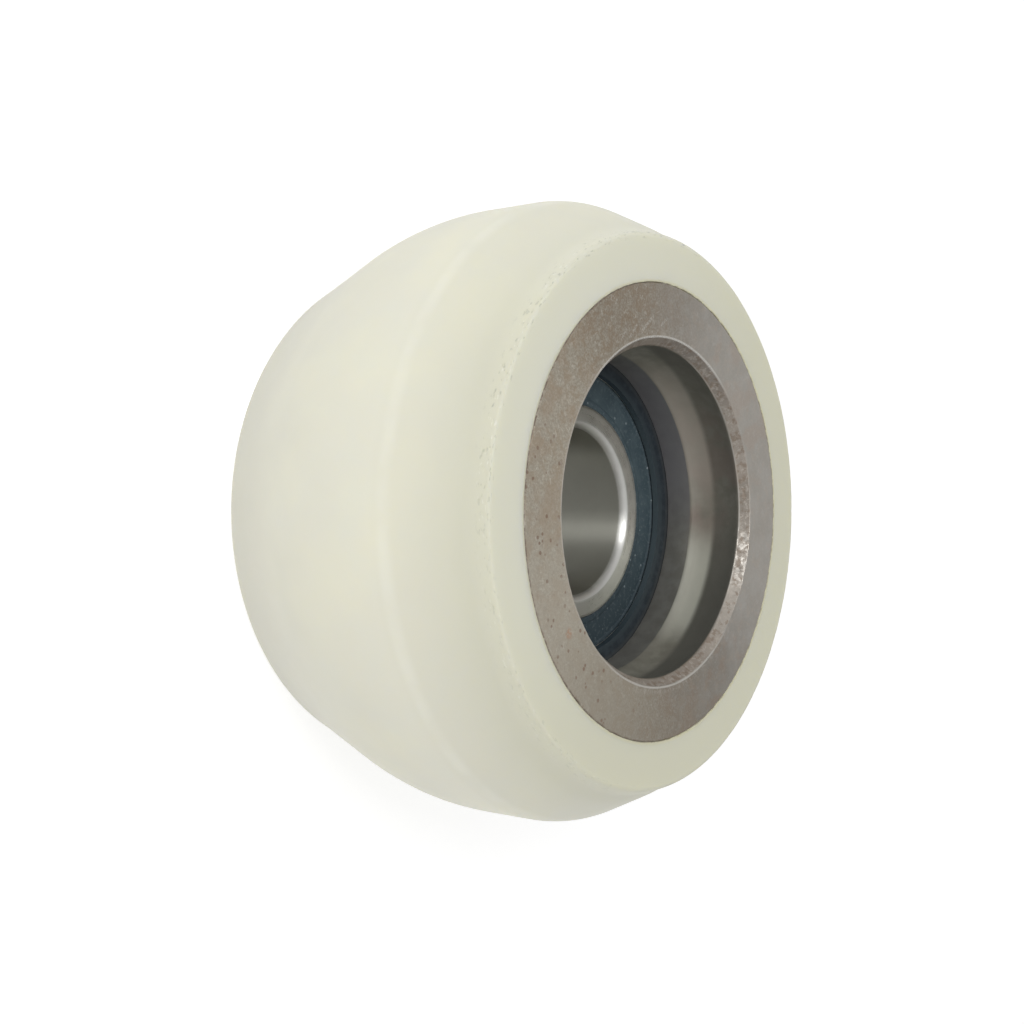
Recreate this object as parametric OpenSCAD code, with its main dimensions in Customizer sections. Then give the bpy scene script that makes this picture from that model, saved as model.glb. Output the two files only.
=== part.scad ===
// Crowned polyurethane roller on a turned steel hub, running on one sealed deep-groove ball bearing.
// The roller stands on its far end: z = 0 is the far end face, z = roller_len is the near end face,
// and the axle line is the Z axis. Depths are measured down from the near end face.
// The bearing is pushed in from the near end against a shoulder and held by a retaining ring.

/* [Roller] */
// Length of the roller along its axis
roller_len = 48; // [46:0.5:60]

/* [Tread] */
// Largest radius of the crown, at the far shoulder
crown_r = 45.35; // [43:0.05:50]
// Radius of the crown at the near shoulder
shoulder_r = 45.1; // [43:0.05:50]
// Radius of the tread's edge at the near end
near_edge_r = 38.9; // [36:0.1:42]
// Radius of the tread's edge at the far end
far_edge_r = 38.6; // [36:0.1:42]
// Depth of the near shoulder
near_shoulder = 12.4; // [9:0.1:15]
// Depth of the far shoulder
far_shoulder = 28.5; // [26:0.1:32]
// Rounding of the near shoulder
near_round = 8; // [2:0.5:10]
// Rounding of the far shoulder
far_round = 36; // [10:1:38]
// Rounding of the edge at the far end
edge_round = 0.9; // [0.3:0.1:1.5]
// Rounding of the tread's edge at the near end
near_edge_round = 0.9; // [0.2:0.1:1.5]

/* [Hub] */
// Outer radius of the hub, where the tread is bonded
hub_r = 32.2; // [28:0.1:35]
// Radius of the chamfer at the mouth of the bore
mouth_r = 24.55; // [24:0.05:26]
// Depth of that chamfer
mouth_depth = 1.55; // [0.5:0.05:1.7]
// Largest radius of the hollow turned into the bore behind the mouth
relief_r = 24.4; // [23.8:0.05:25.5]
// Depth at which that hollow starts
relief_start = 1.75; // [1.75:0.05:3]
// Depth at which it runs out into the bearing seat
relief_end = 10.3; // [8:0.1:11.3]
// Radius of the bore behind the bearing
far_bore_r = 21.5; // [19:0.1:22]
// Chamfer of the bore at the far end
far_chamfer = 1.2; // [0.4:0.1:2]

/* [Retaining ring] */
// Thickness of the ring
ring_t = 1; // [0.8:0.05:1.5]
// Radius of the groove that the ring sits in
ring_groove_r = 24.75; // [24.3:0.05:25.2]
// Side play of the ring in its groove
ring_play = 0.1; // [0.05:0.05:0.2]
// Radius of the ring's inner edge
ring_inner_r = 21.2; // [21:0.05:21.6]
// Offset of the inner edge towards the gap
ring_offset = 0.5; // [0:0.05:0.7]
// Half the angle between the two lugs
lug_angle = 13; // [11:0.5:18]
// Diameter of the plier holes
lug_hole_d = 2.5; // [1.5:0.1:2.8]

/* [Bearing] */
// Bore of the bearing
bearing_bore = 25; // [24:0.1:25.4]
// Outer diameter of the bearing
bearing_od = 47; // [46.8:0.1:47.4]
// Width of the bearing
bearing_w = 16; // [12:0.1:18]
// Depth of the bearing's near face
bearing_depth = 15.55; // [13:0.05:18]
// Chamfer at both ends of the bearing's bore
bore_chamfer = 0.75; // [0.4:0.05:1.2]
// Rounding that blends that chamfer into the bore
bore_blend = 1.8; // [0.5:0.1:2]
// Diameter of the balls
ball_d = 6.35; // [6:0.05:6.5]
// Clearance between a ball and each race
race_gap = 0.02; // [0.01:0.01:0.05]
// Clearance between a ball and its cage pocket
pocket_gap = 0.1; // [0.05:0.01:0.15]
// Clearance between a seal's lip and the inner ring
lip_gap = 0.04; // [0.02:0.01:0.1]
// Thickness of the cage's ribbon
cage_t = 0.6; // [0.4:0.05:0.7]

/* [Hidden] */
$fn = 128;
balls = 10;
seat_r = bearing_od / 2;
bore_r = bearing_bore / 2;
pitch_r = (seat_r + bore_r) / 2;
half_w = bearing_w / 2;
mid_z = roller_len - bearing_depth - half_w;
race_r = 0.515 * ball_d;
inner_land_r = 16;
outer_land_r = 20;
seal_mouth_r = 21.1;
seal_groove_r = 21.6;
cage_in_r = pitch_r - 1.3;
cage_out_r = pitch_r + 1.3;
rivet_r = 0.6;
lug_r = 20.6;
lug_size = 2.6;
lug_gap = 2 * (lug_r * sin(lug_angle) - lug_size);

function at_depth(d) = roller_len - d;
function unit(v) = v / norm(v);

// Points of the arc of radius r that rounds corner b of the path a-b-c.
function rounded(a, b, c, r, steps) =
  let (u = unit(a - b), v = unit(c - b), half = acos(u * v) / 2,
       m = b + unit(u + v) * r / sin(half),
       s = b + u * r / tan(half), e = b + v * r / tan(half),
       a0 = atan2(s.y - m.y, s.x - m.x), a1 = atan2(e.y - m.y, e.x - m.x),
       turn = a1 - a0 > 180 ? a1 - a0 - 360 : a1 - a0 < -180 ? a1 - a0 + 360 : a1 - a0)
  [for (i = [0:steps]) m + r * [cos(a0 + turn * i / steps), sin(a0 + turn * i / steps)]];

// Points of the hollow behind the mouth, from its near end to its far end: one shallow arc.
function relief_arc(steps) =
  let (h = (relief_end - relief_start) / 2, s = relief_r - seat_r,
       r = (h * h + s * s) / (2 * s), a = asin(h / r),
       m = [relief_r - r, at_depth((relief_start + relief_end) / 2)])
  [for (i = [0:steps]) m + r * [cos(a - 2 * a * i / steps), sin(a - 2 * a * i / steps)]];

// A ring's section, low side first, with its two outer corners rounded by ro and its two inner ones by ri.
module ring_section(r_in, r_out, h, ri, ro) {
  a = [r_in, -h]; b = [r_out, -h]; c = [r_out, h]; d = [r_in, h];
  polygon(concat(rounded(d, a, b, ri, 6), rounded(a, b, c, ro, 6), rounded(b, c, d, ro, 6), rounded(c, d, a, ri, 6)));
}

module tread() {
  in_far = [hub_r, 0];
  far = [far_edge_r, 0];
  crown = [crown_r, at_depth(far_shoulder)];
  shoulder = [shoulder_r, at_depth(near_shoulder)];
  near = [near_edge_r, roller_len];
  in_near = [hub_r, roller_len];
  color("ivory") rotate_extrude()
    polygon(concat([in_far],
      rounded(in_far, far, crown, edge_round, 8),
      rounded(far, crown, shoulder, far_round, 20),
      rounded(crown, shoulder, near, near_round, 12),
      rounded(shoulder, near, in_near, near_edge_round, 8),
      [in_near]));
}

module hub() {
  ring_top = bearing_depth - ring_t - ring_play / 2;
  ring_low = bearing_depth + ring_play / 2;
  color("dimgray") rotate_extrude()
    polygon(concat(
      [[far_bore_r + far_chamfer, 0], [hub_r, 0], [hub_r, roller_len],
       [mouth_r, roller_len], [seat_r, at_depth(mouth_depth)]],
      relief_arc(16),
      [[seat_r, at_depth(ring_top)], [ring_groove_r, at_depth(ring_top)],
       [ring_groove_r, at_depth(ring_low)], [seat_r, at_depth(ring_low)],
       [seat_r, mid_z - half_w], [far_bore_r, mid_z - half_w],
       [far_bore_r, far_chamfer]]));
}

// An open ring that springs out into its groove. The lugs and the gap are on the -X side.
module retaining_ring() {
  color([0.08, 0.08, 0.09]) translate([0, 0, at_depth(bearing_depth)]) linear_extrude(ring_t)
    difference() {
      union() {
        difference() {
          circle(r = ring_groove_r);
          translate([-ring_offset, 0]) circle(r = ring_inner_r);
        }
        for (s = [-1, 1]) rotate(180 + s * lug_angle) translate([lug_r, 0]) circle(r = lug_size, $fn = 48);
      }
      translate([-ring_groove_r - 1, -lug_gap / 2]) square([ring_groove_r - lug_r + lug_size + 2, lug_gap]);
      for (s = [-1, 1]) rotate(180 + s * lug_angle) translate([lug_r - 0.2, 0]) circle(d = lug_hole_d, $fn = 32);
    }
}

module bearing_outer_ring() {
  color("silver") translate([0, 0, mid_z]) rotate_extrude() difference() {
    ring_section(outer_land_r, seat_r, half_w, 0.2, 0.8);
    for (s = [-1, 1]) {
      translate([outer_land_r - 1, s * (half_w - 0.5) - 0.6]) square([seal_mouth_r - outer_land_r + 1, 1.2]);
      translate([outer_land_r - 1, s * (half_w - 1.05) - 0.55]) square([seal_groove_r - outer_land_r + 1, 1.1]);
    }
    translate([pitch_r + ball_d / 2 + race_gap - race_r, 0]) circle(r = race_r, $fn = 96);
  }
}

module bearing_inner_ring() {
  w = half_w;
  c = bore_chamfer;
  color("silver") translate([0, 0, mid_z]) rotate_extrude() difference() {
    polygon(concat([[bore_r + c, -w]],
      rounded([bore_r, -w], [inner_land_r, -w], [inner_land_r, w], 0.15, 4),
      rounded([inner_land_r, -w], [inner_land_r, w], [bore_r, w], 0.15, 4),
      [[bore_r + c, w]],
      rounded([bore_r + c, w], [bore_r, w - c], [bore_r, 0], bore_blend, 8),
      rounded([bore_r, 0], [bore_r, c - w], [bore_r + c, -w], bore_blend, 8)));
    translate([pitch_r - ball_d / 2 - race_gap + race_r, 0]) circle(r = race_r, $fn = 96);
  }
}

module at_ball(i) {
  rotate(i * 360 / balls) translate([pitch_r, 0, 0]) children();
}

module ball(i) {
  color("gainsboro") translate([0, 0, mid_z]) at_ball(i) sphere(d = ball_d, $fn = 64);
}

// One half of the riveted ribbon cage: flat lands between dished pockets.
module cage_half() {
  difference() {
    intersection() {
      union() {
        cylinder(r = cage_out_r, h = cage_t);
        for (i = [0:balls - 1]) at_ball(i) sphere(d = ball_d + 2 * (pocket_gap + cage_t), $fn = 64);
      }
      cylinder(r = cage_out_r, h = ball_d);
    }
    translate([0, 0, -1]) cylinder(r = cage_in_r, h = ball_d + 2);
    for (i = [0:balls - 1]) {
      at_ball(i) sphere(d = ball_d + 2 * pocket_gap, $fn = 64);
      at_ball(i + 0.5) translate([0, 0, -1]) cylinder(r = rivet_r, h = cage_t + 2, $fn = 32);
    }
  }
}

module cage_half_near() {
  color("lightsteelblue") translate([0, 0, mid_z]) cage_half();
}

module cage_half_far() {
  color("lightsteelblue") translate([0, 0, mid_z]) mirror([0, 0, 1]) cage_half();
}

module cage_rivets() {
  head = [[1, cage_t], [0.95, cage_t + 0.2], [0.75, cage_t + 0.38], [0.4, cage_t + 0.48], [0, cage_t + 0.5]];
  color("gainsboro") translate([0, 0, mid_z]) for (i = [0:balls - 1]) at_ball(i + 0.5)
    rotate_extrude($fn = 32) polygon(concat(
      [[rivet_r, -cage_t], [rivet_r, cage_t]], head,
      [for (k = [len(head) - 1:-1:0]) [head[k].x, -head[k].y]]));
}

// Rubber seal: a bead pressed into the outer ring's groove, a dished disc and a lip beside the inner ring.
module seal() {
  w = half_w;
  lip = inner_land_r + lip_gap;
  rotate_extrude() polygon([
    [lip, w - 0.65], [lip, w - 0.4], [lip + 0.25, w - 0.28], [16.9, w - 0.28], [17.3, w - 0.42],
    [20.5, w - 0.42], [20.75, w - 0.25], [seal_mouth_r, w - 0.25], [seal_mouth_r, w - 0.5],
    [seal_groove_r, w - 0.5], [seal_groove_r, w - 1.6], [20.9, w - 1.6], [20.7, w - 1.1],
    [17.2, w - 1.1], [16.7, w - 1.35], [16.35, w - 1.35], [16.35, w - 0.9]]);
}

module seal_near() {
  color([0.1, 0.12, 0.14]) translate([0, 0, mid_z]) seal();
}

module seal_far() {
  color([0.1, 0.12, 0.14]) translate([0, 0, mid_z]) mirror([0, 0, 1]) seal();
}

tread();
hub();
retaining_ring();
bearing_outer_ring();
bearing_inner_ring();
ball(0);  // ball_01
ball(1);  // ball_02
ball(2);  // ball_03
ball(3);  // ball_04
ball(4);  // ball_05
ball(5);  // ball_06
ball(6);  // ball_07
ball(7);  // ball_08
ball(8);  // ball_09
ball(9);  // ball_10
cage_half_near();
cage_half_far();
cage_rivets();
seal_near();
seal_far();
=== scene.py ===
import math

import bpy
import numpy as np
from mathutils import Matrix, Vector


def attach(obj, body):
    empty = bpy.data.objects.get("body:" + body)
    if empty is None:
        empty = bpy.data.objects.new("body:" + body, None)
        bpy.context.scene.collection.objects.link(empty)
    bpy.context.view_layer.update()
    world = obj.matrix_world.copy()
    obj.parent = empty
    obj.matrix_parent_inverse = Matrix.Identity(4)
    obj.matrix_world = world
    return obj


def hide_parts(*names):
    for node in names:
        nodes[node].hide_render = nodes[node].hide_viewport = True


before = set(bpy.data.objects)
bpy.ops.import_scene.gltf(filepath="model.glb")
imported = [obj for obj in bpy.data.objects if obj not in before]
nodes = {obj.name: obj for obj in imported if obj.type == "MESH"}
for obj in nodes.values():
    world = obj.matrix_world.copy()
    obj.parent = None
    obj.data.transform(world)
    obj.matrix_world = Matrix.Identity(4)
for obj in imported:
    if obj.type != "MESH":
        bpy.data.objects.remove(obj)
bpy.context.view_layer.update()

scene = bpy.context.scene
MM = 0.001
LENGTH = 48.0

# ---------------------------------------------------------------- noise and lathe work


def hash01(ix, iy, iz, seed):
    """A fixed number from 0 to 1 for each lattice point."""
    with np.errstate(over="ignore"):
        h = (
            ix.astype(np.uint64) * np.uint64(73856093)
            ^ iy.astype(np.uint64) * np.uint64(19349663)
            ^ iz.astype(np.uint64) * np.uint64(83492791)
            ^ np.uint64(seed) * np.uint64(2654435761)
        ) & np.uint64(0xFFFFFFFF)
        h = ((h ^ (h >> np.uint64(15))) * np.uint64(2246822519)) & np.uint64(0xFFFFFFFF)
        h = ((h ^ (h >> np.uint64(13))) * np.uint64(3266489917)) & np.uint64(0xFFFFFFFF)
        h = h ^ (h >> np.uint64(16))
    return h.astype(float) / 4294967295.0


def noise3(x, y, z, cell, seed):
    """Smooth noise from -1 to 1, with cells that many millimetres across."""
    q = [np.asarray(c, float) / cell + 4096.0 for c in (x, y, z)]
    q = np.broadcast_arrays(*q)
    i = [np.floor(c).astype(np.int64) for c in q]
    f = [c - k for c, k in zip(q, i)]
    f = [t * t * t * (t * (t * 6 - 15) + 10) for t in f]
    out = 0.0
    for dx in (0, 1):
        for dy in (0, 1):
            for dz in (0, 1):
                w = (
                    (f[0] if dx else 1 - f[0])
                    * (f[1] if dy else 1 - f[1])
                    * (f[2] if dz else 1 - f[2])
                )
                out = out + w * hash01(i[0] + dx, i[1] + dy, i[2] + dz, seed)
    return out * 2 - 1


def smooth(lo, hi, v):
    t = np.clip((v - lo) / (hi - lo), 0, 1)
    return t * t * (3 - 2 * t)


def bell(v, centre, width):
    return np.exp(-(((v - centre) / width) ** 2))


def sector(phi, centre_deg, half_deg, soft_deg):
    """1 inside a sector of the roller, 0 outside it."""
    d = np.degrees(np.abs(np.angle(np.exp(1j * (phi - math.radians(centre_deg))))))
    return 1 - smooth(half_deg - soft_deg, half_deg + soft_deg, d)


def rounded(a, b, c, r, steps):
    """Points of the arc of radius r that rounds corner b of the path a-b-c."""
    a, b, c = (np.array(p, float) for p in (a, b, c))
    u = (a - b) / np.linalg.norm(a - b)
    v = (c - b) / np.linalg.norm(c - b)
    half = math.acos(float(u @ v)) / 2
    m = b + (u + v) / np.linalg.norm(u + v) * r / math.sin(half)
    s = b + u * r / math.tan(half) - m
    e = b + v * r / math.tan(half) - m
    a0, a1 = math.atan2(s[1], s[0]), math.atan2(e[1], e[0])
    turn = (a1 - a0 + math.pi) % (2 * math.pi) - math.pi
    return [
        (m[0] + r * math.cos(a0 + turn * k / steps), m[1] + r * math.sin(a0 + turn * k / steps))
        for k in range(steps + 1)
    ]


def spread(p, q, n):
    """n points strictly between p and q."""
    return [
        (p[0] + (q[0] - p[0]) * k / (n + 1), p[1] + (q[1] - p[1]) * k / (n + 1))
        for k in range(1, n + 1)
    ]


def turned(name, profile, steps, move, sharp_deg=28):
    """A turned piece. profile is a closed loop of (radius, height) in millimetres, counter-clockwise with the radius to the right.
    move(radius, height, angle) gives how far each point is shifted in radius and height."""
    prof = np.array(profile, float)
    m = len(prof)
    phi = 2 * math.pi * np.arange(steps) / steps
    r, p = np.meshgrid(prof[:, 0], phi, indexing="ij")
    z = np.repeat(prof[:, 1][:, None], steps, axis=1)
    dr, dz = move(r, z, p)
    r = r + dr
    z = z + dz
    co = np.stack([r * np.cos(p), r * np.sin(p), z], axis=-1).reshape(-1, 3) * MM
    i = np.arange(m)[:, None]
    j = np.arange(steps)[None, :]
    i2, j2 = (i + 1) % m, (j + 1) % steps
    quads = np.stack(
        [
            (i * steps + j) + 0 * j2,
            i * steps + j2,
            i2 * steps + j2,
            i2 * steps + j,
        ],
        axis=-1,
    ).reshape(-1, 4)
    me = bpy.data.meshes.new(name)
    me.from_pydata([], [], [])
    me.vertices.add(len(co))
    me.vertices.foreach_set("co", co.ravel())
    me.loops.add(quads.size)
    me.loops.foreach_set("vertex_index", quads.ravel().astype(np.int32))
    me.polygons.add(len(quads))
    me.polygons.foreach_set("loop_start", np.arange(0, quads.size, 4, dtype=np.int32))
    me.polygons.foreach_set("loop_total", np.full(len(quads), 4, np.int32))
    me.update(calc_edges=True)
    me.validate()
    me.shade_smooth()
    me.set_sharp_from_angle(angle=math.radians(sharp_deg))
    o = bpy.data.objects.new(name, me)
    scene.collection.objects.link(o)
    return o


# ---------------------------------------------------------------- tread

HUB_R = 32.2
NEAR = (38.9, LENGTH - 0.07)
SHOULDER = (45.1, LENGTH - 12.4)
CROWN = (45.35, LENGTH - 28.5)
FAR = (38.6, 0.0)

face_z = NEAR[1]
crown_arc = rounded(FAR, CROWN, SHOULDER, 36, 26)
shoulder_arc = rounded(CROWN, SHOULDER, NEAR, 8, 18)
far_arc = rounded((HUB_R, 0), FAR, CROWN, 0.9, 9)
near_arc = rounded(SHOULDER, NEAR, (HUB_R, NEAR[1]), 0.92, 10)

tread_profile = (
    [(HUB_R, 0.06), (HUB_R + 0.25, 0.02), (HUB_R + 0.6, 0)]
    + spread((HUB_R + 0.6, 0), far_arc[0], 4)
    + far_arc
    + spread(far_arc[-1], crown_arc[0], 8)
    + crown_arc
    + spread(crown_arc[-1], shoulder_arc[0], 2)
    + shoulder_arc
    + spread(shoulder_arc[-1], near_arc[0], 14)
    + near_arc
    + [
        (R, face_z)
        for R in (38.25, 38.12, 37.98, 37.8, 37.5, 37.1, 36.5, 35.8, 35.0, 34.3, 33.7, 33.3, 33.05, 32.85, 32.7, 32.56, 32.45, 32.36, 32.28, 32.22)
    ]
    + [(HUB_R, face_z - 0.02), (HUB_R, face_z - 0.5)]
)


def move_tread(r, z, p):
    x, y = r * np.cos(p), r * np.sin(p)
    bonded = r < HUB_R + 0.01
    outer = smooth(38.2, 39.6, r) * smooth(0.4, 3, z)
    # a cast skin that was turned to size: slow swells that only soften the reflections
    swell = 0.035 * noise3(x, y, z, 17, 3) + 0.02 * noise3(x, y, z, 7, 4) - 0.055
    dr = outer * swell
    # the near face is trimmed flush with the hub, not quite flat
    near = smooth(47.3, 47.7, z) * (~bonded)
    dz = near * (0.012 * noise3(x, y, 0, 5, 5) + 0.006 * noise3(x, y, 0, 1.6, 6) - 0.012)
    # trimming flash: a broken, ragged lip along the outer edge of that face
    along = p * 38.8
    edge = np.exp(-(((r - 38.62) ** 2 + (z - face_z + 0.14) ** 2) / 0.24**2))
    ragged = noise3(along, 0, 0, 0.9, 11) * 0.6 + noise3(along, r * 3, z * 3, 0.45, 12) * 0.5
    strong = np.clip(
        sector(p, 128, 52, 14) + 0.45 * sector(p, 222, 30, 12) + 0.3 * sector(p, -20, 40, 20) + 0.12, 0, 1
    )
    lip = edge * strong * np.clip(ragged + 0.1, -0.55, 1)
    dz = dz + lip * 0.05
    dr = dr + lip * 0.09
    # the knife left a shallow dip in the flank just behind it
    dr = dr - 0.26 * bell(z, 45.4, 1.3) * (r > 38.9) * (~bonded)
    # fine nicks beside it, where the knife chattered
    beside = np.exp(-(((r - 39.3) / 0.9) ** 2)) * smooth(46.0, 47.4, z)
    nick = smooth(0.45, 0.8, noise3(along * 0.8, r * 2.2, z * 2.2, 0.55, 13)) * strong
    dr = dr - beside * nick * 0.07
    dz = dz - beside * nick * 0.02
    # the skin creeps up a little against the steel
    creep = bell(r, 32.42, 0.16) * smooth(47.3, 47.7, z)
    dz = dz + creep * (0.035 + 0.03 * noise3(along * 0.83, 0, 0, 1.7, 14))
    dr = np.where(bonded, 0, dr)
    dz = np.where(bonded, 0, dz)
    top = np.minimum(z + dz, LENGTH - 0.001)
    dz = top - z
    return dr, dz


# ---------------------------------------------------------------- hub

SEAT_R = 23.5
MOUTH_R = 24.55
RELIEF = (24.4, 1.75, 10.3)
hub_face = LENGTH - 0.05
half = (RELIEF[2] - RELIEF[1]) / 2
sag = RELIEF[0] - SEAT_R
arc_r = (half * half + sag * sag) / (2 * sag)
arc_a = math.asin(half / arc_r)
arc_m = (RELIEF[0] - arc_r, LENGTH - (RELIEF[1] + RELIEF[2]) / 2)
relief_arc = [
    (arc_m[0] + arc_r * math.cos(arc_a - 2 * arc_a * k / 22), arc_m[1] + arc_r * math.sin(arc_a - 2 * arc_a * k / 22))
    for k in range(23)
]
BEARING = 15.55
WIDE = 16.0
ring_top = LENGTH - (BEARING - 1.05)
ring_low = LENGTH - (BEARING + 0.05)
back_z = LENGTH - BEARING - WIDE
face_rs = np.concatenate([np.arange(31.9, 25.3, -0.24), [25.2, 25.06, 24.94, 24.84, 24.76, 24.69, 24.63, 24.58]])

hub_profile = (
    [(22.7, 0.03), (22.9, 0), (24.5, 0), (27, 0), (29.5, 0), (31.6, 0), (32.0, 0.04), (HUB_R - 0.005, 0.2)]
    + [(HUB_R - 0.005, hub_face - 0.5), (HUB_R - 0.01, hub_face - 0.22), (HUB_R - 0.04, hub_face - 0.12), (HUB_R - 0.09, hub_face - 0.05), (HUB_R - 0.16, hub_face - 0.015)]
    + [(R, hub_face) for R in face_rs]
    + [(MOUTH_R - 0.02, hub_face - 0.02), (MOUTH_R - 0.07, hub_face - 0.08)]
    + spread((MOUTH_R - 0.07, hub_face - 0.08), (SEAT_R + 0.03, LENGTH - 1.5), 7)
    + [(SEAT_R + 0.03, LENGTH - 1.5), (SEAT_R, LENGTH - 1.58), (SEAT_R, LENGTH - 1.66)]
    + relief_arc
    + [(SEAT_R - 0.0, relief_arc[-1][1] - 0.12)]
    + spread((SEAT_R, relief_arc[-1][1] - 0.12), (SEAT_R, ring_top + 0.08), 4)
    + [(SEAT_R, ring_top + 0.08), (SEAT_R + 0.08, ring_top), (24.75, ring_top), (24.75, ring_low), (SEAT_R, ring_low)]
    + [(SEAT_R, back_z), (21.7, back_z), (21.5, back_z - 0.2), (21.5, 8), (21.5, 1.2), (22.7, 0.03)][:-1]
)


def move_hub(r, z, p):
    x, y = r * np.cos(p), r * np.sin(p)
    along = p * 28
    on_face = smooth(hub_face - 0.02, hub_face, z)
    left = smooth(-0.2, 0.6, -np.cos(p))
    # the sawn and turned face, rougher to the left, with shallow pits
    dz = on_face * (
        0.006 * noise3(x, y, 0, 3.5, 21)
        - (0.004 + 0.018 * left) * smooth(0.25, 0.75, noise3(x, y, 0, 0.55, 22))
        - 0.012
    )
    dr = 0 * r
    # the outer edge of the face is nicked all along its left half
    rim = smooth(31.8, 32.1, r) * smooth(47.0, 47.6, z)
    nick = smooth(0.1, 0.75, noise3(p * 32.2, 0, 0, 0.75, 23)) * 0.75 + smooth(0.2, 0.8, noise3(p * 32.2, 0, 0, 1.9, 24)) * 0.5
    rough = 0.25 + 0.75 * sector(p, 185, 75, 18)
    dr = dr - rim * nick * rough * 0.13
    dz = dz - rim * nick * rough * 0.06
    # a burr stands up round the mouth of the bore
    burr_at = np.clip(sector(p, 90, 38, 10) + 0.8 * sector(p, -85, 35, 10) + 0.45 * sector(p, 180, 60, 15), 0, 1)
    burr = bell(r, 24.74, 0.12) * on_face
    dz = dz + burr * burr_at * (0.045 + 0.025 * noise3(p * 24.6, 0, 0, 1.1, 25))
    # the chamfer wanders a little and is dented on the right
    cham = smooth(SEAT_R - 0.02, SEAT_R + 0.15, r) * smooth(LENGTH - 1.62, LENGTH - 1.3, z) * (r < MOUTH_R + 0.35)
    wander = 0.05 * noise3(p * 24, 0, 0, 4.5, 26) + 0.02 * noise3(p * 24, 0, 0, 0.8, 27)
    dent = sector(p, -17, 12, 6) * (0.16 * smooth(-0.2, 0.6, noise3(p * 24, z, 0, 1.0, 28)) + 0.04)
    dr = dr + cham * (wander + dent)
    # long scratches and a nick on the face
    for sx, sy, ang, length, width, depth in (
        (-10.6, 24.2, 62, 3.0, 0.16, 0.05),
        (-8.9, 28.4, 70, 2.4, 0.15, 0.05),
        (-6.6, 25.4, 48, 2.2, 0.14, 0.04),
        (-3.1, 27.5, 66, 2.0, 0.14, 0.045),
        (-1.4, 26.3, 35, 1.5, 0.13, 0.04),
        (2.8, 26.0, 55, 1.8, 0.13, 0.04),
        (16.7, 25.8, 20, 0.6, 0.28, 0.05),
        (19.8, 16.2, 118, 2.6, 0.12, 0.04),
    ):
        c, s = math.cos(math.radians(ang)), math.sin(math.radians(ang))
        u = (x - sx) * c + (y - sy) * s
        v = -(x - sx) * s + (y - sy) * c + 0.12 * np.sin(u * 2.3)
        dz = dz - on_face * depth * np.exp(-((v / width) ** 2)) * (1 - smooth(length / 2 - 0.3, length / 2, np.abs(u)))
    dz = np.minimum(z + dz, LENGTH - 0.001) - z
    return dr, dz


# ---------------------------------------------------------------- materials


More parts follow.
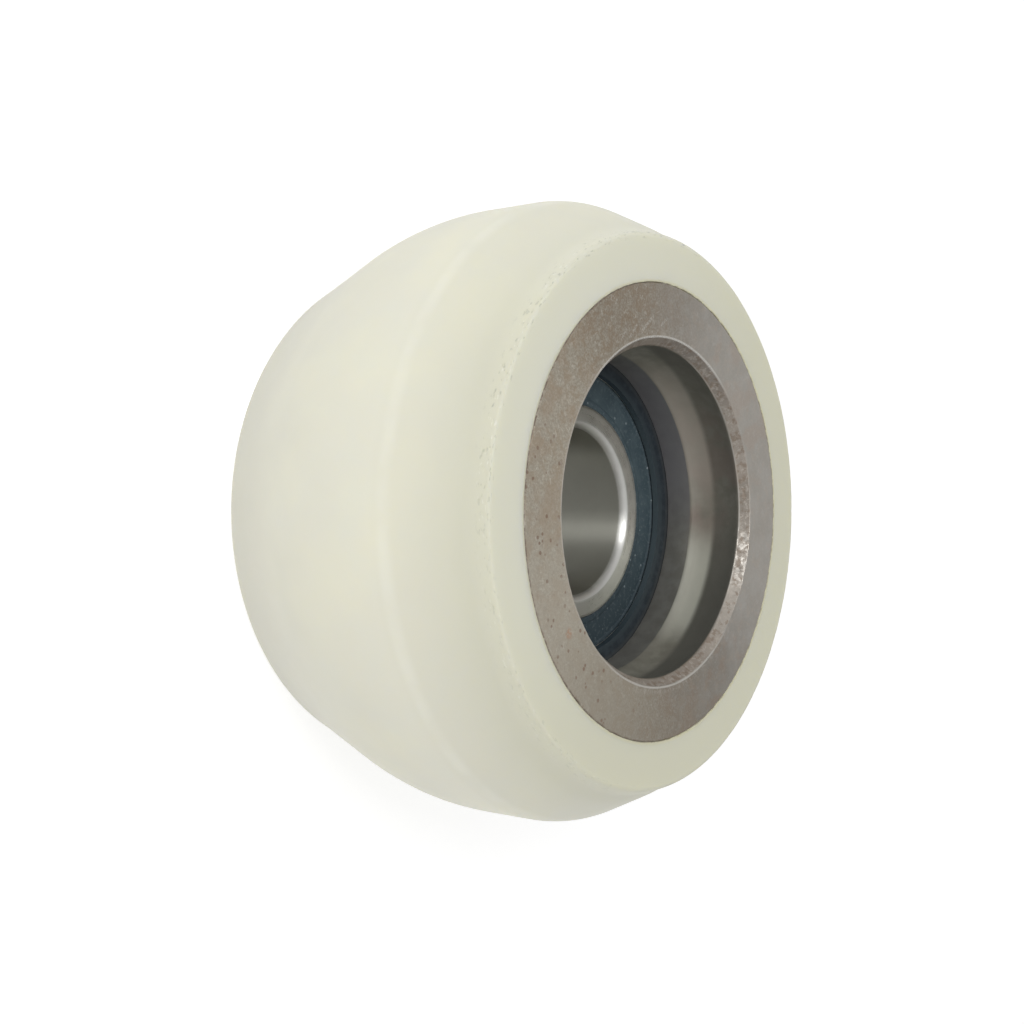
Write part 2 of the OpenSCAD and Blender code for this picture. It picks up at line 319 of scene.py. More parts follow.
class Mat:
    """A node-based material, with short names for the nodes that these finishes use. Lengths are in millimetres."""

    def __init__(self, name, **fixed):
        self.mat = bpy.data.materials.new(name)
        self.mat.use_nodes = True
        self.tree = self.mat.node_tree
        self.tree.nodes.clear()
        self.out = self.tree.nodes.new("ShaderNodeOutputMaterial")
        self.bsdf = self.tree.nodes.new("ShaderNodeBsdfPrincipled")
        self.tree.links.new(self.bsdf.outputs[0], self.out.inputs["Surface"])
        for k, v in fixed.items():
            self.bsdf.inputs[k.replace("_", " ")].default_value = v
        tc = self.tree.nodes.new("ShaderNodeTexCoord")
        self.p = self.vmul(tc.outputs["Object"], 1000.0)
        sep = self.new("ShaderNodeSeparateXYZ")
        self.put(sep.inputs[0], self.p)
        self.x, self.y, self.z = sep.outputs
        flat = self.new("ShaderNodeCombineXYZ")
        self.put(flat.inputs[0], self.x)
        self.put(flat.inputs[1], self.y)
        length = self.new("ShaderNodeVectorMath", operation="LENGTH")
        self.put(length.inputs[0], flat.outputs[0])
        self.r = length.outputs["Value"]
        # the angle is measured so that its jump lies on +X
        self.phi = self.math("ARCTAN2", self.math("MULTIPLY", self.y, -1.0), self.math("MULTIPLY", self.x, -1.0))
        self.depth = self.math("SUBTRACT", LENGTH, self.z)

    def new(self, kind, **props):
        n = self.tree.nodes.new(kind)
        for k, v in props.items():
            setattr(n, k, v)
        return n

    def put(self, socket, value):
        if hasattr(value, "is_linked") or hasattr(value, "links"):
            self.tree.links.new(value, socket)
        elif isinstance(value, (tuple, list)):
            socket.default_value = tuple(value) + ((1.0,) if len(socket.default_value) == 4 and len(value) == 3 else ())
        else:
            socket.default_value = value

    def vmul(self, v, k):
        n = self.new("ShaderNodeVectorMath", operation="SCALE")
        self.put(n.inputs[0], v)
        n.inputs["Scale"].default_value = k
        return n.outputs[0]

    def math(self, op, a, b=None, c=None, clamp=False):
        n = self.new("ShaderNodeMath", operation=op, use_clamp=clamp)
        for s, v in zip(n.inputs, (a, b, c)):
            if v is not None:
                self.put(s, v)
        return n.outputs[0]

    def add(self, *v):
        out = v[0]
        for w in v[1:]:
            out = self.math("ADD", out, w)
        return out

    def mul(self, *v):
        out = v[0]
        for w in v[1:]:
            out = self.math("MULTIPLY", out, w)
        return out

    def xyz(self, x, y, z):
        n = self.new("ShaderNodeCombineXYZ")
        for s, v in zip(n.inputs, (x, y, z)):
            self.put(s, v)
        return n.outputs[0]

    def noise(self, cell, detail=2.0, rough=0.5, at=None, shift=0.0, warp=0.0):
        """Noise about 0.5, with cells that many millimetres across."""
        n = self.new("ShaderNodeTexNoise")
        n.noise_dimensions = "3D"
        v = self.p if at is None else at
        if shift:
            a = self.new("ShaderNodeVectorMath", operation="ADD")
            self.put(a.inputs[0], v)
            a.inputs[1].default_value = (shift, shift * 0.7, -shift * 1.3)
            v = a.outputs[0]
        self.put(n.inputs["Vector"], v)
        n.inputs["Scale"].default_value = 1.0 / cell
        n.inputs["Detail"].default_value = detail
        n.inputs["Roughness"].default_value = rough
        n.inputs["Distortion"].default_value = warp
        return n.outputs["Fac"]

    def cells(self, cell, at=None, jitter=1.0):
        """Distance to the nearest of scattered points, in cells."""
        n = self.new("ShaderNodeTexVoronoi", feature="F1")
        self.put(n.inputs["Vector"], self.p if at is None else at)
        n.inputs["Scale"].default_value = 1.0 / cell
        n.inputs["Randomness"].default_value = jitter
        return n.outputs["Distance"], n.outputs["Color"]

    def step(self, v, lo, hi, a=0.0, b=1.0):
        """a below lo, b above hi, smooth between."""
        n = self.new("ShaderNodeMapRange", interpolation_type="SMOOTHSTEP")
        self.put(n.inputs["Value"], v)
        n.inputs["From Min"].default_value = lo
        n.inputs["From Max"].default_value = hi
        n.inputs["To Min"].default_value = a
        n.inputs["To Max"].default_value = b
        return n.outputs["Result"]

    def band(self, v, lo, hi, soft):
        return self.mul(self.step(v, lo - soft, lo + soft), self.step(v, hi - soft, hi + soft, 1.0, 0.0))

    def sector(self, centre_deg, half_deg, soft_deg):
        c, s = math.cos(math.radians(centre_deg)), math.sin(math.radians(centre_deg))
        dot = self.math("DIVIDE", self.add(self.mul(self.x, c), self.mul(self.y, s)), self.math("MAXIMUM", self.r, 0.001))
        return self.step(
            dot, math.cos(math.radians(min(179.9, half_deg + soft_deg))), math.cos(math.radians(max(0.1, half_deg - soft_deg)))
        )

    def spot(self, x, y, radius, soft=0.5):
        dx, dy = self.math("SUBTRACT", self.x, x), self.math("SUBTRACT", self.y, y)
        d = self.math("SQRT", self.add(self.mul(dx, dx), self.mul(dy, dy)))
        return self.step(d, radius * (1 - soft), radius * (1 + soft), 1.0, 0.0)

    def mark(self, x, y, angle_deg, length, width):
        """1 along a thin straight mark on the near face, 0 away from it."""
        c, s = math.cos(math.radians(angle_deg)), math.sin(math.radians(angle_deg))
        dx, dy = self.math("SUBTRACT", self.x, x), self.math("SUBTRACT", self.y, y)
        u = self.math("ABSOLUTE", self.add(self.mul(dx, c), self.mul(dy, s)))
        v = self.math("ABSOLUTE", self.add(self.mul(dx, -s), self.mul(dy, c)))
        return self.mul(self.step(v, width * 0.4, width, 1.0, 0.0), self.step(u, length / 2 - 0.4, length / 2, 1.0, 0.0))

    def facing(self):
        """How far the surface faces along the axle line, 0 to 1."""
        g = self.new("ShaderNodeNewGeometry")
        sep = self.new("ShaderNodeSeparateXYZ")
        self.put(sep.inputs[0], g.outputs["Normal"])
        return self.math("ABSOLUTE", sep.outputs[2])

    def mix(self, f, a, b, mode="MIX"):
        n = self.new("ShaderNodeMix", data_type="RGBA", blend_type=mode)
        self.put(n.inputs[0], f)
        self.put(n.inputs[6], a)
        self.put(n.inputs[7], b)
        return n.outputs[2]

    def lerp(self, f, a, b):
        n = self.new("ShaderNodeMix", data_type="FLOAT")
        self.put(n.inputs[0], f)
        self.put(n.inputs[2], a)
        self.put(n.inputs[3], b)
        return n.outputs[0]

    def bump(self, height, distance, strength=1.0, normal=None):
        """height times distance, in millimetres."""
        n = self.new("ShaderNodeBump")
        n.inputs["Strength"].default_value = strength
        n.inputs["Distance"].default_value = distance * MM
        self.put(n.inputs["Height"], height)
        if normal is not None:
            self.put(n.inputs["Normal"], normal)
        return n.outputs[0]

    def radial(self):
        """The direction round the axle line, for turned finishes."""
        n = self.new("ShaderNodeTangent", direction_type="RADIAL", axis="Z")
        self.put(self.bsdf.inputs["Tangent"], n.outputs[0])

    def finish(self, color=None, roughness=None, normal=None, metallic=None):
        for k, v in (("Base Color", color), ("Roughness", roughness), ("Normal", normal), ("Metallic", metallic)):
            if v is not None:
                self.put(self.bsdf.inputs[k], v)
        return self.mat


def polyurethane():
    m = Mat("polyurethane", IOR=1.47)
    m.bsdf.inputs["Subsurface Weight"].default_value = 0.45
    m.bsdf.inputs["Subsurface Radius"].default_value = (1.0, 0.94, 0.66)
    m.bsdf.inputs["Subsurface Scale"].default_value = 0.0035
    m.bsdf.inputs["Specular IOR Level"].default_value = 0.25
    cloud = m.noise(15, 2, 0.5)
    patch = m.noise(5.5, 3, 0.55, shift=31)
    c = m.mix(m.step(cloud, 0.36, 0.66), (0.700, 0.690, 0.585), (0.724, 0.712, 0.583))
    c = m.mix(m.mul(m.step(patch, 0.42, 0.7), 0.35), c, (0.690, 0.695, 0.605))
    # a warmer, faintly handled patch low on the left of the far flank
    warm = m.mul(m.sector(205, 28, 16), m.step(m.z, 4, 16, 1.0, 0.15), m.step(m.noise(7, 3, 0.6, shift=9), 0.38, 0.62))
    c = m.mix(m.mul(warm, 0.6), c, (0.735, 0.690, 0.570))
    # painted shade: the near flank and the near face are darker and a little more yellow-green, except towards the top
    # (+Y), where they stay light
    near_shade = m.step(m.z, 37, 47)
    c = m.mix(m.mul(near_shade, 0.75), c, m.mix(m.mul(m.sector(88, 42, 30), 0.9), (0.618, 0.612, 0.496), (0.700, 0.696, 0.580)))
    # painted shade: the far part of the tread, down towards the floor, is darker
    far = m.step(m.add(m.z, m.mul(m.math("SUBTRACT", m.noise(9, 2, 0.5, shift=83), 0.5), 8.0)), -4.0, 34.0, 1.0, 0.0)
    c = m.mix(m.mul(far, 0.95), c, (0.560, 0.553, 0.482))
    on_face = m.mul(m.step(m.z, 47.5, 47.9), m.step(m.r, 39.3, 38.3))
    # painted light: the near face is lighter towards its upper left (between +Y and -X) and darker elsewhere
    c = m.mix(on_face, c, m.mix(m.mul(m.sector(145, 60, 45), 0.85), (0.692, 0.684, 0.545), (0.768, 0.765, 0.640)))
    # painted highlight: a lighter band round the near shoulder, broken up by noise
    shoulder_highlight = m.mul(m.band(m.z, 35.4, 36.9, 0.6), m.step(m.noise(6, 2, 0.5, shift=4), 0.3, 0.6, 0.3, 1.0))
    c = m.mix(m.mul(shoulder_highlight, 0.34), c, (0.800, 0.795, 0.710))
    # the knife's flecks along the trimmed edge
    round_edge = m.xyz(m.mul(m.phi, 38.8), m.mul(m.r, 3.2), m.mul(m.z, 3.2))
    dash = m.step(m.noise(0.95, 2, 0.55, at=round_edge), 0.60, 0.68)
    near_edge = m.mul(m.band(m.r, 38.2, 40.0, 0.35), m.step(m.z, 45.6, 47.3))
    where = m.math("MINIMUM", m.add(m.sector(128, 52, 14), m.mul(m.sector(222, 30, 14), 0.5), m.mul(m.sector(-20, 40, 20), 0.25), 0.06), 1.0)
    flecks = m.mul(dash, near_edge, where)
    c = m.mix(m.mul(flecks, 0.55), c, (0.42, 0.43, 0.36))
    pale = m.mul(m.step(m.noise(0.8, 2, 0.5, at=round_edge, shift=17), 0.63, 0.70), near_edge, where)
    c = m.mix(m.mul(pale, 0.5), c, (0.80, 0.80, 0.73))
    # the skin is thin and yellow where it meets the steel
    joint = m.mul(m.step(m.r, 32.35, 32.75, 1.0, 0.0), m.step(m.z, 47.4, 47.7))
    c = m.mix(m.mul(joint, 0.55), c, (0.74, 0.70, 0.42))
    grime = m.mul(m.step(m.r, 32.22, 32.36, 1.0, 0.0), m.step(m.noise(1.4, 2, 0.6, shift=21), 0.42, 0.6))
    c = m.mix(m.mul(grime, 0.5), c, (0.16, 0.11, 0.07))
    rough = m.add(0.44, m.mul(m.noise(3.5, 3, 0.6, shift=12), 0.16))
    n = m.bump(m.noise(4.0, 2, 0.5, shift=41), 0.035)
    n = m.bump(m.noise(0.55, 3, 0.6, shift=51), 0.006, normal=n)
    # soft streaks drawn by the cutter across the near face
    streak = m.noise(1.0, 2, 0.5, at=m.xyz(m.mul(m.phi, 14.0), m.mul(m.r, 0.35), m.z))
    n = m.bump(m.mul(streak, on_face), 0.02, normal=n)
    n = m.bump(m.mul(flecks, -1.0), 0.05, normal=n)
    return m.finish(c, rough, n)


def hub_steel():
    m = Mat("hub_steel", Anisotropic=0.35)
    m.radial()
    on_face = m.mul(m.step(m.z, LENGTH - 0.35, LENGTH - 0.2), m.step(m.r, MOUTH_R - 0.05, MOUTH_R + 0.05))
    inside = m.mul(m.step(m.r, 24.9, 24.6, 1.0, 1.0), m.step(m.depth, 0.4, 1.4))
    left = m.step(m.add(m.x, m.mul(m.math("SUBTRACT", m.noise(6, 3, 0.55, shift=3), 0.5), 16.0)), -13.0, 16.0, 1.0, 0.0)
    speck = m.noise(0.30, 4, 0.62)
    speck2 = m.noise(0.62, 3, 0.6, shift=7)
    cloud = m.noise(3.2, 3, 0.55, shift=13)
    blot = m.noise(4.5, 3, 0.5, shift=23)
    # left half: a scaly, mottled skin
    scaly = m.mix(m.step(speck, 0.38, 0.64), (0.330, 0.285, 0.225), (0.490, 0.455, 0.382))
    scaly = m.mix(m.mul(m.step(speck2, 0.50, 0.68), 0.42), scaly, (0.310, 0.235, 0.170))
    scaly = m.mix(m.mul(m.step(m.noise(0.26, 2, 0.5, shift=71), 0.66, 0.72), 0.7), scaly, (0.700, 0.680, 0.610))
    patchy = m.step(m.noise(1.7, 4, 0.65, shift=91, warp=0.6), 0.46, 0.60)
    scaly = m.mix(m.mul(patchy, 0.55), scaly, (0.320, 0.225, 0.140))
    pale = m.step(m.noise(0.75, 4, 0.7, shift=97, warp=0.8), 0.56, 0.66)
    scaly = m.mix(m.mul(pale, 0.72), scaly, (0.700, 0.675, 0.600))
    scaly = m.mix(m.mul(m.sector(226, 36, 22), 0.48), scaly, (0.520, 0.490, 0.420))
    scaly = m.mix(m.mul(m.sector(98, 30, 22), 0.38), scaly, (0.290, 0.245, 0.190))
    brown = m.mul(m.step(cloud, 0.42, 0.62), m.sector(168, 30, 18))
    scaly = m.mix(m.mul(brown, 0.45), scaly, (0.350, 0.235, 0.145))
    # right half: smoother and bluer, with pinkish stains
    plain = m.mix(m.step(cloud, 0.35, 0.7), (0.335, 0.313, 0.280), (0.392, 0.374, 0.346))
    stained = m.mul(m.step(blot, 0.47, 0.62), m.math("MINIMUM", m.add(m.sector(36, 24, 14), m.sector(-70, 22, 14), 0.25), 1.0))
    plain = m.mix(m.mul(stained, 0.6), plain, (0.375, 0.285, 0.225))
    plain = m.mix(m.mul(m.step(speck, 0.45, 0.68), 0.25), plain, (0.46, 0.43, 0.39))
    plain = m.mix(m.mul(m.step(m.noise(1.3, 4, 0.65, shift=101, warp=0.6), 0.50, 0.64), 0.36), plain, (0.455, 0.380, 0.310))
    plain = m.mix(m.mul(m.step(m.noise(1.0, 4, 0.68, shift=119, warp=0.7), 0.54, 0.66), 0.32), plain, (0.520, 0.520, 0.505))
    c = m.mix(left, plain, scaly)
    # painted light: the face is lightened on its left and right sides, around 192° and 14° round the axle (from +X
    # towards +Y)
    c = m.mix(m.mul(m.math("MINIMUM", m.add(m.sector(192, 52, 26), m.sector(14, 50, 24)), 1.0), 0.34), c, m.mix(left, (0.690, 0.655, 0.590), (0.700, 0.645, 0.530)))
    # the lower side is duller and browner
    low = m.sector(-95, 38, 22)
    c = m.mix(m.mul(low, 0.4), c, (0.250, 0.215, 0.165))
    # rust: small dots on the lower left, one larger spot
    dist, rnd = m.cells(1.25)
    dots = m.mul(m.step(dist, 0.16, 0.26, 1.0, 0.0), m.step(m.noise(2.0, 1, 0.5, shift=33), 0.42, 0.6), m.sector(205, 45, 18), on_face)
    c = m.mix(m.mul(dots, 0.55), c, (0.20, 0.085, 0.045))
    rust = m.mul(m.spot(-22.8, -15.6, 0.62, 0.6), m.step(m.noise(0.5, 2, 0.6, shift=35), 0.3, 0.55))
    c = m.mix(m.mul(rust, 0.75), c, (0.34, 0.165, 0.080))
    rim = m.mul(m.step(m.r, 31.85, 32.08), m.step(m.z, LENGTH - 0.8, LENGTH - 0.4))
    rimmed = m.mul(rim, m.add(m.mul(m.sector(185, 75, 18), 0.8), 0.15), m.step(m.noise(0.8, 2, 0.6, shift=37), 0.32, 0.6))
    c = m.mix(m.mul(rimmed, 0.85), c, (0.105, 0.060, 0.035))
    # bright bare metal on the burr, with a painted highlight along it at the top and bottom of the mouth, and bright
    # metal where the chamfer was knocked
    lip = m.mul(m.band(m.r, MOUTH_R - 0.06, MOUTH_R + 0.24, 0.07), m.step(m.z, LENGTH - 0.4, LENGTH - 0.15))
    lip_at = m.math("MINIMUM", m.add(m.sector(92, 38, 10), m.mul(m.sector(-86, 36, 10), 0.8), m.mul(m.sector(150, 40, 14), 0.45), m.mul(m.sector(205, 30, 14), 0.25)), 1.0)
    bright = m.mul(lip, lip_at, m.step(m.noise(0.9, 2, 0.5, shift=43), 0.18, 0.38))
    cham = m.mul(m.step(m.r, SEAT_R + 0.04, SEAT_R + 0.14), m.step(m.depth, 1.6, 1.4), m.step(m.depth, 0.05, 0.2))
    knocked = m.mul(cham, m.sector(-17, 9, 5), m.step(m.noise(0.8, 3, 0.6, shift=47), 0.47, 0.62))
    # painted shade on the chamfer around 0° and 66° round the axle (from +X towards +Y), painted highlight around -42°
    c = m.mix(m.mul(cham, 0.75), c, m.mix(m.sector(4, 7, 6), m.mix(m.sector(66, 20, 12), m.mix(m.sector(-42, 14, 10), (0.305, 0.262, 0.222), (0.390, 0.350, 0.305)), (0.205, 0.177, 0.150)), (0.205, 0.174, 0.142)))
    rag = m.mul(m.add(cham, m.mul(m.band(m.r, MOUTH_R, MOUTH_R + 0.9, 0.3), on_face)), m.step(m.noise(0.7, 4, 0.68, shift=107, warp=0.7), 0.50, 0.62))
    c = m.mix(m.mul(m.math("MINIMUM", rag, 1.0), 0.55), c, (0.500, 0.455, 0.400))
    stain = m.mul(cham, m.step(m.noise(1.1, 3, 0.6, shift=113), 0.50, 0.62))
    c = m.mix(m.mul(stain, 0.5), c, (0.190, 0.130, 0.085))
    c = m.mix(m.mul(knocked, 0.8), c, (0.62, 0.59, 0.54))
    # bright scratches above the mouth
    cuts = m.math(
        "MINIMUM",
        m.add(
            m.mark(-5.1, 26.0, 40, 4.6, 0.34),
            m.mark(-1.2, 26.5, 36, 3.0, 0.26),
            m.mark(-8.6, 24.6, 48, 3.0, 0.30),
            m.mark(-10.8, 23.9, 54, 2.6, 0.30),
        ),
        1.0,
    )
    # the scratches together with the painted highlight on the burr
    wear_and_glint = m.math("MAXIMUM", bright, m.mul(cuts, on_face, m.step(m.noise(0.24, 4, 0.7, shift=77, warp=0.5), 0.46, 0.58), 0.62))
    c = m.mix(m.mul(wear_and_glint, 0.85), c, (0.72, 0.70, 0.65))
    # the hollow and the bore behind the mouth: turned, lightly oxidised
    hollow = m.mul(m.band(m.depth, 1.62, 10.32, 0.05), m.step(m.r, 24.9, 24.7))
    seat = m.mul(m.step(m.depth, 10.25, 10.4), m.step(m.r, 24.9, 24.7))
    deep = m.noise(2.2, 3, 0.55, shift=53)
    pink = m.mul(m.sector(14, 22, 14), m.step(m.noise(5, 2, 0.5, shift=57), 0.35, 0.6))
    ch = m.mix(m.step(deep, 0.35, 0.68), (0.330, 0.315, 0.262), (0.420, 0.405, 0.345))
    ch = m.mix(m.mul(pink, 0.6), ch, (0.420, 0.325, 0.285))
    # painted shade: the near half of the hollow is darker than the half that runs out into the seat, a little darker
    # again just before the seat, darker still around -56° round the axle and less dark around 30°
    shade = m.mul(m.add(m.step(m.depth, 5.8, 7.1, 1.0, 0.0), m.mul(m.step(m.depth, 8.6, 10.4), 0.42)), hollow)
    # painted highlights in the far half of the hollow: near white around -30° round the axle, pinkish around 34°
    lit = m.step(m.depth, 5.9, 7.0)
    ch = m.mix(m.mul(lit, m.sector(-30, 17, 11), 0.8), ch, (0.860, 0.860, 0.750))
    ch = m.mix(m.mul(lit, m.sector(34, 24, 16), 0.64), ch, (0.640, 0.585, 0.515))
    ch = m.mix(m.mul(shade, m.add(0.70, m.mul(m.sector(-56, 38, 20), 0.22), m.mul(m.sector(30, 28, 18), -0.16))), ch, (0.165, 0.161, 0.141))
    c = m.mix(hollow, c, ch)
    cs = m.mix(m.step(deep, 0.35, 0.68), (0.245, 0.238, 0.216), (0.300, 0.292, 0.268))
    # painted light: the seat is lighter and bluer around 35° round the axle (from +X towards +Y)
    cs = m.mix(m.mul(m.sector(35, 28, 20), 0.7), cs, (0.330, 0.320, 0.345))
    c = m.mix(seat, c, cs)
    # finish
    rough = m.lerp(left, 0.42, 0.52)
    rough = m.lerp(hollow, rough, 0.40)
    rough = m.lerp(seat, rough, 0.42)
    rough = m.lerp(shade, rough, 0.58)
    rough = m.lerp(cham, rough, 0.56)
    rough = m.lerp(knocked, rough, 0.40)
    rough = m.lerp(wear_and_glint, rough, 0.28)
    rough = m.math("SUBTRACT", rough, m.mul(m.math("SUBTRACT", speck, 0.5), 0.22))
    metal = m.lerp(m.math("MAXIMUM", rust, rimmed), m.lerp(m.math("MAXIMUM", hollow, seat), m.lerp(cham, 0.82, 0.4), 0.55), 0.1)
    # relief of the surface
    pits = m.mul(m.step(speck, 0.30, 0.60), m.add(m.mul(left, 0.8), 0.2), on_face)
    n = m.bump(pits, 0.022)
    feed = m.noise(1.0, 1, 0.5, at=m.xyz(m.mul(m.r, 5.0), m.mul(m.z, 5.0), m.mul(m.phi, 0.25)))
    n = m.bump(feed, 0.004, normal=n)
    n = m.bump(m.mul(wear_and_glint, m.noise(0.5, 3, 0.6, shift=61)), 0.05, normal=n)
    return m.finish(c, rough, n, metal)


def ground_steel(name, tint, rough0, anis):
    """Ground and honed bearing steel, the marks running round the axle line."""
    m = Mat(name, Metallic=1.0, Anisotropic=anis, Anisotropic_Rotation=0.25)
    m.radial()
    fine = m.noise(1.0, 2, 0.5, at=m.xyz(m.mul(m.r, 7.0), m.mul(m.z, 7.0), m.mul(m.phi, 0.6)))
    smear = m.noise(3.0, 3, 0.55)
    c = m.mix(m.step(smear, 0.35, 0.7), tint, tuple(t * 1.12 for t in tint))
    c = m.mix(m.mul(m.step(m.noise(0.6, 3, 0.6, shift=5), 0.62, 0.72), 0.35), c, tuple(t * 0.6 for t in tint))
    rough = m.add(rough0, m.mul(m.math("SUBTRACT", fine, 0.5), 0.16), m.mul(m.math("SUBTRACT", smear, 0.5), 0.08))
    bore = m.step(m.r, 12.51, 12.60, 1.0, 0.0)
    c = m.mix(m.mul(bore, 0.86), c, (0.350, 0.347, 0.300))
    rough = m.lerp(bore, rough, 0.44)
    m.put(m.bsdf.inputs["Anisotropic"], m.lerp(bore, anis, 0.97))
    lip = m.band(m.r, 12.56, 13.4, 0.05)
    rough = m.lerp(lip, rough, 0.37)
    c = m.mix(m.mul(lip, 0.62), c, (0.90, 0.90, 0.87))
    soft = m.new("ShaderNodeBevel", samples=6)
    soft.inputs["Radius"].default_value = 0.9 * MM
    n = m.bump(fine, 0.0022, normal=soft.outputs[0])
    return m.finish(c, rough, n)


def black_steel():
    m = Mat("ring_steel", Metallic=0.1)
    c = m.mix(m.step(m.noise(1.2, 3, 0.6), 0.4, 0.7), (0.018, 0.028, 0.037), (0.036, 0.050, 0.062))
    c = m.mix(m.mul(m.step(m.noise(0.3, 2, 0.6, shift=3), 0.66, 0.74), 0.4), c, (0.11, 0.12, 0.12))
    wall = m.step(m.facing(), 0.4, 0.7, 1.0, 0.0)
    c = m.mix(m.mul(m.step(m.r, 21.5, 22.1, 1.0, 0.0), 0.75), c, (0.040, 0.058, 0.068))
    c = m.mix(m.mul(m.step(m.r, 22.6, 23.3), 0.7), c, (0.060, 0.066, 0.068))
    # painted light: the ring's inner wall is lighter and bluer around 0° round the axle (the +X side)
    c = m.mix(m.mul(wall, 0.9), c, m.mix(m.sector(0, 45, 30), (0.030, 0.046, 0.058), (0.080, 0.108, 0.122)))
    rough = m.add(0.40, m.mul(m.noise(0.8, 3, 0.6, shift=8), 0.2))
    return m.finish(c, rough, m.bump(m.noise(0.35, 3, 0.6), 0.006))


def seal_rubber():
    m = Mat("seal_rubber")
    m.bsdf.inputs["Specular IOR Level"].default_value = 0.36
    film = m.noise(2.6, 3, 0.6)
    c = m.mix(m.step(film, 0.35, 0.7), (0.054, 0.084, 0.100), (0.074, 0.108, 0.124))
    # painted shade: the seal is darker around -80° round the axle
    c = m.mix(m.mul(m.sector(-80, 50, 30), 0.8), c, (0.026, 0.042, 0.052))
    # painted shade: a darker band along the seal's outer rim, next to the ring
    c = m.mix(m.mul(m.step(m.r, 20.4, 20.95), 0.6), c, (0.030, 0.045, 0.055))
    dist, rnd = m.cells(1.5)
    sep = m.new("ShaderNodeSeparateColor")
    m.put(sep.inputs[0], rnd)
    size = m.step(sep.outputs[0], 0.38, 1.0, 0.0, 0.16)
    speck = m.step(m.math("SUBTRACT", dist, size), -0.02, 0.02, 1.0, 0.0)
    speck = m.mul(speck, m.step(size, 0.0, 0.02))
    c = m.mix(m.mul(speck, 0.6), c, (0.34, 0.39, 0.41))
    dust = m.step(m.noise(0.6, 4, 0.68, shift=14), 0.50, 0.72)
    c = m.mix(m.mul(dust, 0.42), c, (0.19, 0.225, 0.24))
    rough = m.add(0.52, m.mul(film, 0.2))
    return m.finish(c, rough, m.bump(m.noise(0.45, 3, 0.6), 0.008))


def ball_steel():
    m = Mat("ball_steel", Metallic=1.0)
    smear = m.noise(1.6, 3, 0.6)
    c = m.mix(m.step(smear, 0.35, 0.7), (0.72, 0.72, 0.73), (0.80, 0.80, 0.80))
    return m.finish(c, m.add(0.06, m.mul(smear, 0.10)), m.bump(smear, 0.001))


def cage_steel(name, rough0):
    m = Mat(name, Metallic=1.0)
    grain = m.noise(0.5, 3, 0.6)
    stain = m.noise(2.5, 3, 0.55, shift=9)
    c = m.mix(m.step(stain, 0.35, 0.7), (0.50, 0.50, 0.49), (0.62, 0.62, 0.61))
    c = m.mix(m.mul(m.step(grain, 0.62, 0.72), 0.3), c, (0.34, 0.32, 0.29))
    return m.finish(c, m.add(rough0, m.mul(m.math("SUBTRACT", grain, 0.5), 0.2)), m.bump(grain, 0.006))


def dress(o, mat):
    o.data.materials.clear()
    o.data.materials.append(mat)


tread = turned("tread_skin", tread_profile, 720, move_tread)
dress(tread, polyurethane())
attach(tread, "roller")
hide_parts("tread")

hub = turned("hub_turned", hub_profile, 600, move_hub)
dress(hub, hub_steel())
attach(hub, "roller")
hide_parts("hub")

race = ground_steel("bearing_steel_inner", (0.622, 0.624, 0.584), 0.30, 0.88)
dress(nodes["bearing_inner_ring"], race)
dress(nodes["bearing_outer_ring"], ground_steel("bearing_steel_outer", (0.52, 0.51, 0.47), 0.30, 0.5))
dress(nodes["retaining_ring"], black_steel())
rubber = seal_rubber()
dress(nodes["seal_near"], rubber)
dress(nodes["seal_far"], rubber)
balls = ball_steel()
for name in nodes:
    if name.startswith("ball_"):
        dress(nodes[name], balls)
cage = cage_steel("cage_steel", 0.34)
dress(nodes["cage_half_near"], cage)
dress(nodes["cage_half_far"], cage)
dress(nodes["cage_rivets"], cage_steel("rivet_steel", 0.28))

# ---------------------------------------------------------------- floor, light, camera

n = 96
ring = [(1.6 * math.cos(2 * math.pi * k / n), 1.6 * math.sin(2 * math.pi * k / n), 0.0) for k in range(n)]
me = bpy.data.meshes.new("floor")
me.from_pydata(ring, [], [tuple(range(n))])
floor = bpy.data.objects.new("floor", me)
floor.location = (0, 0, -0.00005)
scene.collection.objects.link(floor)
fm = bpy.data.materials.new("floor_paint")
fm.use_nodes = True
fb = fm.node_tree.nodes["Principled BSDF"]
fb.inputs["Base Color"].default_value = (0.55, 0.55, 0.55, 1)
fb.inputs["Roughness"].default_value = 0.8
fb.inputs["Specular IOR Level"].default_value = 0.1
fb.inputs["Emission Color"].default_value = (1, 1, 1, 1)
fb.inputs["Emission Strength"].default_value = 0.64
dress(floor, fm)

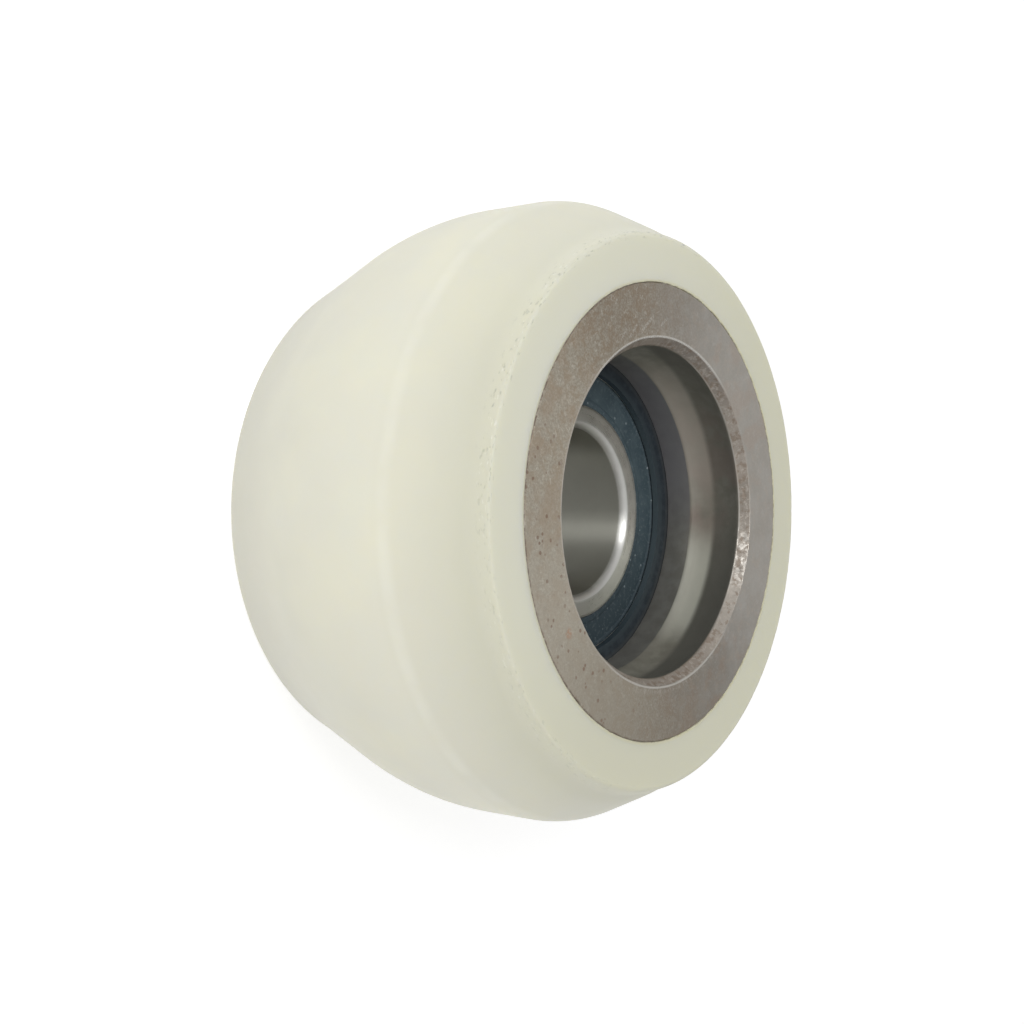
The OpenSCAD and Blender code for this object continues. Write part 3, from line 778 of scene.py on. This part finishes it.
world = bpy.data.worlds.new("studio")
scene.world = world
world.use_nodes = True
wt = world.node_tree
bg = wt.nodes["Background"]
bg.inputs["Strength"].default_value = 1.0
tc = wt.nodes.new("ShaderNodeTexCoord")
dot = wt.nodes.new("ShaderNodeVectorMath")
dot.operation = "DOT_PRODUCT"
wt.links.new(tc.outputs["Generated"], dot.inputs[0])
dot.inputs[1].default_value = Vector((-0.72, 0.55, 0.42)).normalized()
ramp = wt.nodes.new("ShaderNodeMapRange")
ramp.inputs["From Min"].default_value = -1.0
ramp.inputs["From Max"].default_value = 1.0
ramp.inputs["To Min"].default_value = 0.48
ramp.inputs["To Max"].default_value = 0.70
wt.links.new(dot.outputs["Value"], ramp.inputs["Value"])
wt.links.new(ramp.outputs["Result"], bg.inputs["Color"])


def softbox(name, at, aim, size, watts, color=(1, 1, 1)):
    d = bpy.data.lights.new(name, "AREA")
    d.shape = "RECTANGLE"
    d.size, d.size_y = size
    d.energy = watts
    d.color = color
    o = bpy.data.objects.new(name, d)
    o.location = at
    o.rotation_mode = "QUATERNION"
    o.rotation_quaternion = (Vector(aim) - Vector(at)).to_track_quat("-Z", "Y")
    o.visible_camera = False
    scene.collection.objects.link(o)
    return o


softbox("key", (-0.62, 0.34, 0.42), (0, 0, 0.03), (0.34, 0.34), 0.27)
softbox("beside_camera", (-0.262, 0.149, 0.38), (0, 0, 0.03), (0.16, 0.16), 0.54)
softbox("low_side", (-0.52, -0.20, 0.06), (0, 0, 0.02), (0.3, 0.12), 0.10)

cam_data = bpy.data.cameras.new("camera")
cam_data.sensor_width = 36.0
cam_data.lens = 45.13
cam_data.clip_start = 0.005
cam_data.clip_end = 20.0
cam = bpy.data.objects.new("camera", cam_data)
scene.collection.objects.link(cam)
right = Vector((0.629488, 0.008571, 0.776963)).normalized()
down = Vector((0.005396, -0.999963, 0.006660)).normalized()
forward = Vector((0.776991, 0.0, -0.629511)).normalized()
up = forward.cross(right).normalized() * -1
if up.dot(-down) < 0:
    up = -up
right = forward.cross(up).normalized()
at = Vector((0, 0, LENGTH)) - (21.77 * right - 0.015 * up + 181.07 * forward)
rot = Matrix((right, up, -forward)).transposed()
cam.matrix_world = Matrix.Translation(at * MM) @ rot.to_4x4()
scene.camera = cam

scene.view_settings.view_transform = "Standard"
scene.view_settings.look = "None"
scene.view_settings.exposure = 0.0
scene.view_settings.gamma = 1.0

bpy.context.view_layer.update()
